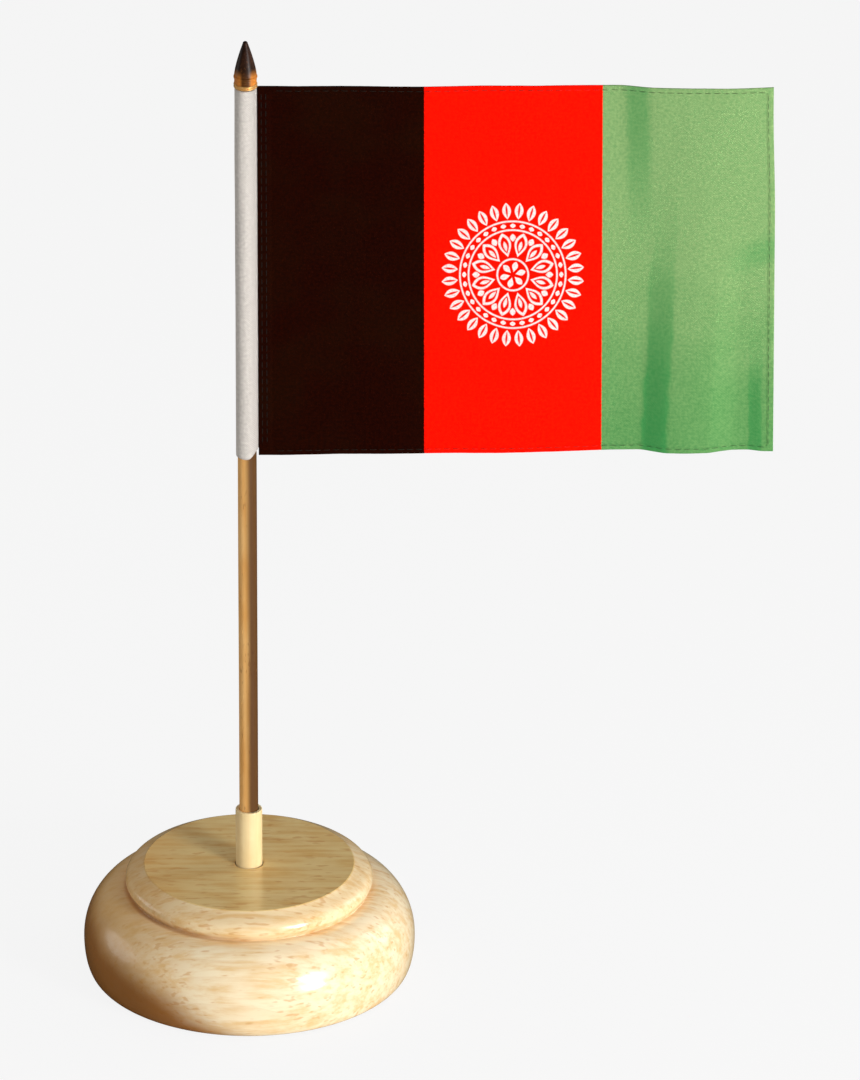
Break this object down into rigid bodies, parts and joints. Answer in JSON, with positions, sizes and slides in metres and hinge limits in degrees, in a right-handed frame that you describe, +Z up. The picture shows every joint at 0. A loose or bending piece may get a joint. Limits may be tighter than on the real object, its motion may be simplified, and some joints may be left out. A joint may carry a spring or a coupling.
{
  "type": "desk flag stand",
  "caption": "Small hemmed cloth flag sewn to a pole with a spear cap, whose pale bush lifts out of a round turned wooden base with a felt underside.",
  "frame": {"origin": "middle of the round face that rests on the desk, on the pole's axis", "axes": "+Z up along the pole; +X from the pole towards the flag's fly edge; -Y faces the viewer of the flag's front"},
  "size_m": [0.1801, 0.087, 0.2682],
  "materials": {
    "lacquered_wood": "gloss",
    "felt": "matte",
    "pale_wood": "satin",
    "stained_wood": "satin",
    "bronze_lacquer": "gloss",
    "gold_ring": "gloss",
    "sleeve_cloth": "matte",
    "printed_cloth": "matte",
    "dark_thread": "matte",
    "hem_thread": "matte"
  },
  "bodies": {
    "base": {"base": "lacquered_wood", "felt_pad": "felt"},
    "socket": {"pole_socket": "pale_wood"},
    "flagpole": {"pole": "stained_wood", "finial": "bronze_lacquer", "finial_collar": "gold_ring", "flag_sleeve": "sleeve_cloth", "flag_panel": "printed_cloth", "sleeve_seam": "dark_thread", "hem_stitching": "hem_thread"}
  },
  "joints": [
    {"name": "socket_lift", "type": "slide", "parent": "base", "child": "socket", "axis": [0, 0, 1], "range_m": [0, 0.03]},
    {"name": "pole_turn", "type": "hinge", "parent": "socket", "child": "flagpole", "pos_m": [0, 0, 0.04], "axis": [0, 0, 1], "continuous": true}
  ]
}
